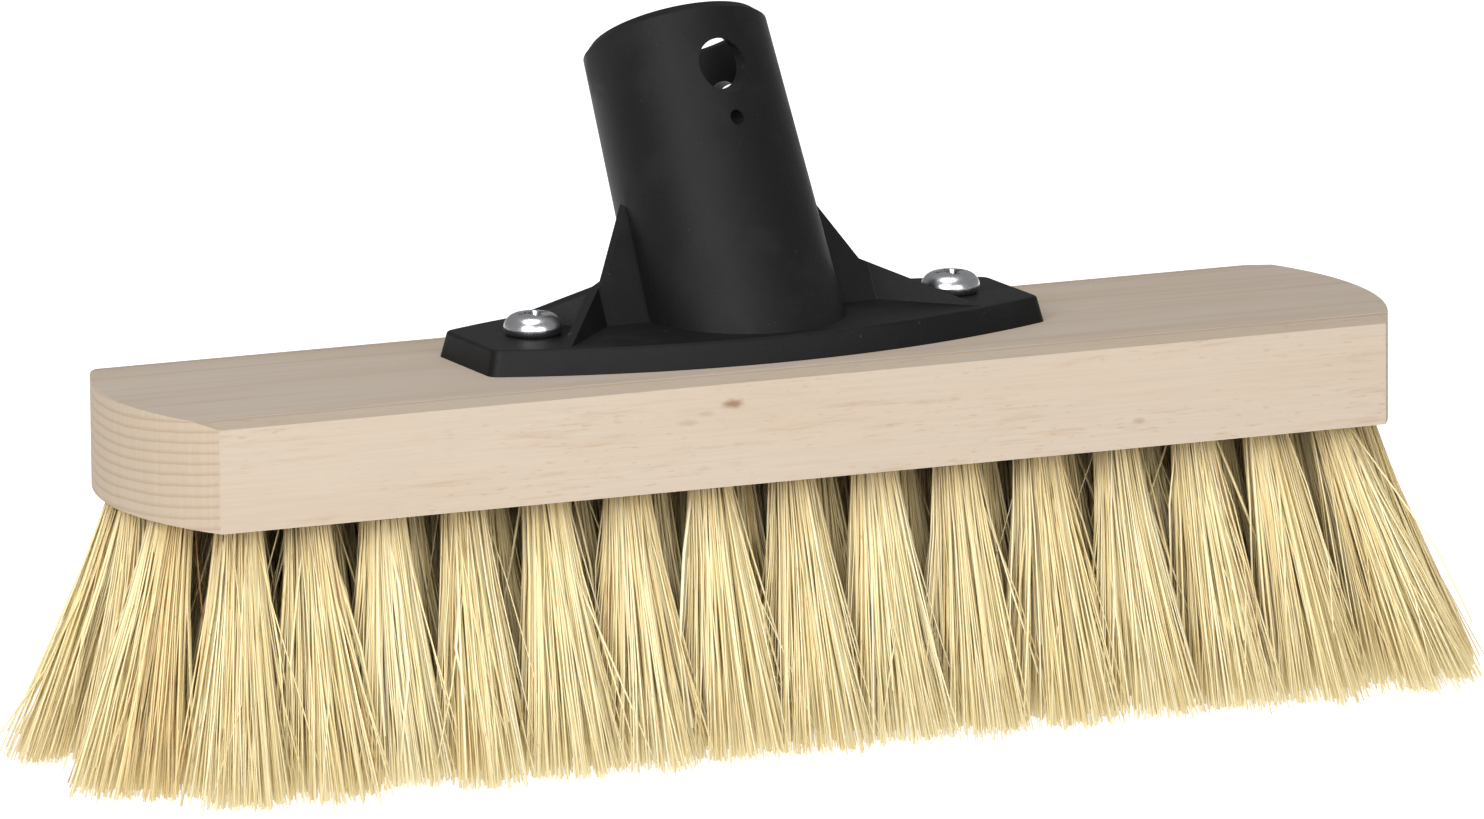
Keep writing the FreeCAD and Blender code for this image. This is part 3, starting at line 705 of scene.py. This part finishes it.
def shape_fibres(mesh, pattern, lines, look, seed, painted_shade_tone=0.0):
    """Bend and colour a blank bundle so that it fills the given tufts, with painted shade added to
    the tone where asked.
    """
    random = np.random.default_rng(seed)
    count = look.count
    along = pattern[:, 2]
    corner = pattern[:, :2]
    places, tones, runs = [], [], []
    for line in lines:
        root, tip = line[0], worn_tip(line[0], line[1])
        at_root, at_tip, bow, short, tone = fibre_paths(line, look, random, painted_shade_tone)
        drop = root.z - tip.z
        start = root.z + HIDDEN_LENGTH
        height = start - along[None, :] * (drop + HIDDEN_LENGTH - short[:, None])
        run = (root.z - height) / drop
        seen_run = np.clip(run, 0.0, 1.0)
        flare = seen_run ** FLARE_POWER
        arch = np.sin(math.pi * seen_run)
        centre = []
        for axis in range(2):
            middle = root[axis] + (tip[axis] - root[axis]) * run
            offset = at_root[:, axis, None] + (at_tip - at_root)[:, axis, None] * flare
            centre.append(middle + offset + bow[:, axis, None] * arch)
        wide = look.radius * np.exp(random.normal(0.0, WIDTH_SPREAD, count))
        flat = random.uniform(0.0, 1.0, count) < FLAT_SHARE
        broad = np.where(flat, FLAT_WIDE, 1.0)
        thin = np.where(flat, FLAT_THIN, 1.0)
        twist = random.uniform(0.0, 2.0 * math.pi, count)
        taper = 1.0 - TIP_TAPER * seen_run ** 2
        side_x = corner[None, :, 0] * (wide * broad)[:, None] * taper
        side_y = corner[None, :, 1] * (wide * thin)[:, None] * taper
        cos, sin = np.cos(twist)[:, None], np.sin(twist)[:, None]
        x = centre[0] + side_x * cos - side_y * sin
        y = centre[1] + side_x * sin + side_y * cos
        z = np.maximum(height, tip.z + TIP_REST)
        places.append(np.stack([x, y, z], 2))
        tones.append(np.repeat(tone[:, None], len(along), 1))
        runs.append(seen_run)
    mesh.vertices.foreach_set("co", np.concatenate(places).ravel())
    for name, values in (("fibre_tone", tones), ("fibre_run", runs)):
        attribute = mesh.attributes.new(name, "FLOAT", "POINT")
        attribute.data.foreach_set("value", np.concatenate(values).astype(np.float32).ravel())
    mesh.update()


# ---------------------------------------------------------------- operators

class BROOM_OT_block(Operator):
    """Finish the beech block"""
    bl_idname = "broom.block"
    bl_label = "Beech Block"

    def execute(self, context):
        finish_cad("block", wood_material(context.scene.broom_wood))
        return {"FINISHED"}


class BROOM_OT_socket(Operator):
    """Finish the moulded handle socket"""
    bl_idname = "broom.socket"
    bl_label = "Handle Socket"

    def execute(self, context):
        finish_cad("handle_socket", plastic_material(context.scene.broom_plastic))
        return {"FINISHED"}


class BROOM_OT_screws(Operator):
    """Finish the two pan head screws"""
    bl_idname = "broom.screws"
    bl_label = "Screws"

    def execute(self, context):
        look = context.scene.broom_metal
        zinc = metal_material("zinc plate", look.zinc, look.stain, look.roughness, ZINC_SCALE)
        for name in SCREWS:
            finish_cad(name, zinc)
        return {"FINISHED"}


class BROOM_OT_staples(Operator):
    """Finish the staples that anchor the tufts"""
    bl_idname = "broom.staples"
    bl_label = "Staples"

    def execute(self, context):
        look = context.scene.broom_metal
        roughness = look.roughness + WIRE_ROUGHER
        wire = metal_material("staple wire", look.wire, look.stain, roughness, WIRE_SCALE)
        for name in nodes_named("staples_"):
            finish_cad(name, wire)
        return {"FINISHED"}


class BROOM_OT_fibres(Operator):
    """Fill every drilled hole with its tuft of fibres"""
    bl_idname = "broom.fibres"
    bl_label = "Fibre Tufts"

    def execute(self, context):
        look = context.scene.broom_fibre
        material = fibre_material(look)
        single, pattern = blank_fibres(look.count)
        for place_in_rows, row in enumerate(TUFT_ROWS):
            for place_in_row, name in enumerate(nodes_named("tuft_" + row)):
                mesh = single.copy()
                seed = ROW_SEED * place_in_rows + place_in_row
                shape_fibres(mesh, pattern, tuft_lines(name), look, seed)
                add_piece(name.replace("tuft", "fibres"), mesh, material, "fibre", name)
        for place_in_rows, row in enumerate(GROUPED_ROWS):
            name = "tufts_" + row
            lines = tuft_lines(name)
            mesh, pattern = blank_fibres(look.count * len(lines))
            seed = INNER_SEED + place_in_rows
            # The inner rows get painted shade through a darker tone.
            shape_fibres(mesh, pattern, lines, look, seed, look.inner_rows_painted_shade)
            add_piece("fibres_" + row, mesh, material, "fibre", name)
        bpy.data.meshes.remove(single)
        return {"FINISHED"}


class BROOM_OT_stage(Operator):
    """Set up the floor, the lights and the camera"""
    bl_idname = "broom.stage"
    bl_label = "Stage"

    def execute(self, context):
        look = context.scene.broom_stage
        add_floor(look)
        add_light(look)
        add_camera(look)
        context.scene.view_settings.view_transform = "Standard"
        return {"FINISHED"}


FLOOR_SIDES = 64
FLOOR_RADIUS = 9.0
# Soft boxes: name, place from the block's middle, width and share of the key's power.
SOFT_BOXES = (
    ("key", (-1.15, -1.20, 0.75), 1.4, 1.0),
    ("front fill", (0.15, -1.80, 0.55), 1.4, 0.45),
    ("overhead", (-0.30, -0.20, 2.00), 1.6, 0.75),
)
SENSOR_WIDTH = 36.0
CLIP_END = 50.0


def add_floor(look):
    """Plain pale disc on the level of the tips."""
    bm = bmesh.new()
    bmesh.ops.create_circle(bm, cap_ends=True, segments=FLOOR_SIDES, radius=FLOOR_RADIUS)
    bmesh.ops.translate(bm, verts=bm.verts, vec=(0.0, 0.0, CAD_LOW.z))
    mesh = bpy.data.meshes.new("floor")
    bm.to_mesh(mesh)
    bm.free()
    material, _, shader, _ = new_material("floor")
    shader.inputs["Base Color"].default_value = (*look.floor, 1.0)
    shader.inputs["Roughness"].default_value = 0.9
    shader.inputs["Specular IOR Level"].default_value = 0.0
    shader.inputs["Emission Color"].default_value = (1.0, 1.0, 1.0, 1.0)
    shader.inputs["Emission Strength"].default_value = look.floor_glow
    mesh.materials.append(material)
    floor = bpy.data.objects.new("floor", mesh)
    bpy.context.scene.collection.objects.link(floor)


def add_light(look):
    """Even light from all round and soft boxes that face the block."""
    world = bpy.data.worlds.new("studio")
    world.use_nodes = True
    background = next(n for n in world.node_tree.nodes if n.type == "BACKGROUND")
    background.inputs["Color"].default_value = (1.0, 1.0, 1.0, 1.0)
    background.inputs["Strength"].default_value = look.sky
    bpy.context.scene.world = world
    middle = (BLOCK_LOW + BLOCK_HIGH) / 2
    for name, offset, width, power_share in SOFT_BOXES:
        lamp = bpy.data.lights.new(name, "AREA")
        lamp.shape = "DISK"
        lamp.size = width
        lamp.energy = look.key * power_share
        light = bpy.data.objects.new(name, lamp)
        light.location = middle + Vector(offset)
        light.rotation_mode = "QUATERNION"
        light.rotation_quaternion = (-Vector(offset)).to_track_quat("-Z", "Y")
        bpy.context.scene.collection.objects.link(light)


def add_camera(look):
    """Long lens, from the front and a little to the left, looking down on the block."""
    sin_a, cos_a = math.sin(look.azimuth), math.cos(look.azimuth)
    sin_e, cos_e = math.sin(look.elevation), math.cos(look.elevation)
    ahead = Vector((sin_a * cos_e, cos_a * cos_e, -sin_e))
    right = Vector((cos_a, -sin_a, 0.0))
    up = right.cross(ahead)
    turn = Matrix.Rotation(-look.roll, 3, ahead)
    right, up = turn @ right, turn @ up
    target = Vector((0.0, 0.0, BLOCK_LOW.z)) + right * look.aim_right + up * look.aim_up
    lens = bpy.data.cameras.new("camera")
    lens.lens = look.lens
    lens.sensor_width = SENSOR_WIDTH
    lens.clip_end = CLIP_END
    camera = bpy.data.objects.new("camera", lens)
    basis = Matrix((right, up, -ahead)).transposed().to_4x4()
    camera.matrix_world = Matrix.Translation(target - ahead * look.distance) @ basis
    bpy.context.scene.collection.objects.link(camera)
    bpy.context.scene.camera = camera


class BROOM_PT_panel(Panel):
    """Lists the steps that build the broom head"""
    bl_idname = "BROOM_PT_panel"
    bl_label = "Push Broom Head"
    bl_space_type = "VIEW_3D"
    bl_region_type = "UI"
    bl_category = "Push Broom"

    def draw(self, context):
        for step in STEPS:
            self.layout.operator(step.bl_idname)
        for name, group in SETTINGS.items():
            box = self.layout.box()
            look = getattr(context.scene, name)
            for setting in group.__annotations__:
                box.prop(look, setting)


STEPS = (BROOM_OT_stage, BROOM_OT_block, BROOM_OT_socket, BROOM_OT_screws, BROOM_OT_staples,
         BROOM_OT_fibres)
SETTINGS = {
    "broom_wood": BroomWood,
    "broom_plastic": BroomPlastic,
    "broom_metal": BroomMetal,
    "broom_fibre": BroomFibre,
    "broom_stage": BroomStage,
}


def register():
    for group in SETTINGS.values():
        bpy.utils.register_class(group)
    for step in STEPS:
        bpy.utils.register_class(step)
    bpy.utils.register_class(BROOM_PT_panel)
    for name, group in SETTINGS.items():
        setattr(bpy.types.Scene, name, PointerProperty(type=group))


def unregister():
    for name in SETTINGS:
        delattr(bpy.types.Scene, name)
    bpy.utils.unregister_class(BROOM_PT_panel)
    for step in reversed(STEPS):
        bpy.utils.unregister_class(step)
    for group in reversed(SETTINGS.values()):
        bpy.utils.unregister_class(group)


def main():
    register()
    bpy.ops.broom.stage()
    bpy.ops.broom.block()
    bpy.ops.broom.socket()
    bpy.ops.broom.screws()
    bpy.ops.broom.staples()
    bpy.ops.broom.fibres()


if __name__ == "__main__":
    main()
